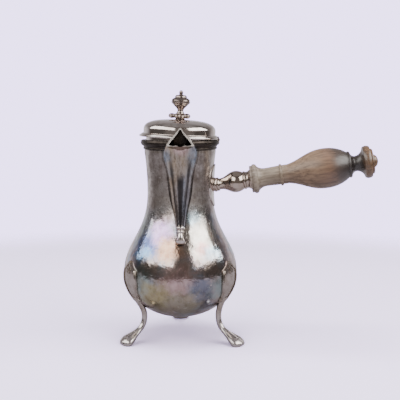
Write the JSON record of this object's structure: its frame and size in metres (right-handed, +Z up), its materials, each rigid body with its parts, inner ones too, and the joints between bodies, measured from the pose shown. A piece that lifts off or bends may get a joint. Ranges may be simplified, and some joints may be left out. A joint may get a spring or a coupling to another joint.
{
  "type": "coffee pot",
  "caption": "Pear-shaped silver coffee pot on cabriole legs with a hooded fluted spout, a hinged domed lid with a knob finial, and a turned wooden side handle.",
  "frame": {"origin": "on the upright axis of the vessel, at the level of the table that the feet stand on", "axes": "+Z up along the vessel's axis, -Y the way the spout pours, +X the side of the lid hinge and the handle"},
  "size_m": [0.2244, 0.12, 0.2199],
  "materials": {
    "tarnished_silver": "satin",
    "bright_silver": "polished",
    "turned_wood": "satin"
  },
  "bodies": {
    "pot": {"vessel": "tarnished_silver", "mouth_moulding": "bright_silver", "neck_wire": "tarnished_silver", "spout": "tarnished_silver", "spout_drop": "bright_silver", "leg_front_left": "bright_silver", "leg_front_right": "bright_silver", "leg_back": "bright_silver", "socket_plate": "bright_silver", "handle_socket": "bright_silver", "handle_grip": "turned_wood", "handle_pin": "bright_silver", "pot_hinge_leaf": "bright_silver", "hinge_pin": "bright_silver"},
    "lid": {"lid_cap": "bright_silver", "lid_moulding": "bright_silver", "lid_bezel": "bright_silver", "lid_hinge_leaf": "bright_silver", "finial_rosette": "bright_silver", "finial_knob": "bright_silver", "finial_nut": "bright_silver"}
  },
  "joints": [
    {"name": "lid_hinge", "type": "hinge", "parent": "pot", "child": "lid", "pos_m": [0.0332, 0, 0.1771], "axis": [0, 1, 0], "range_deg": [-2.6, 100]}
  ]
}
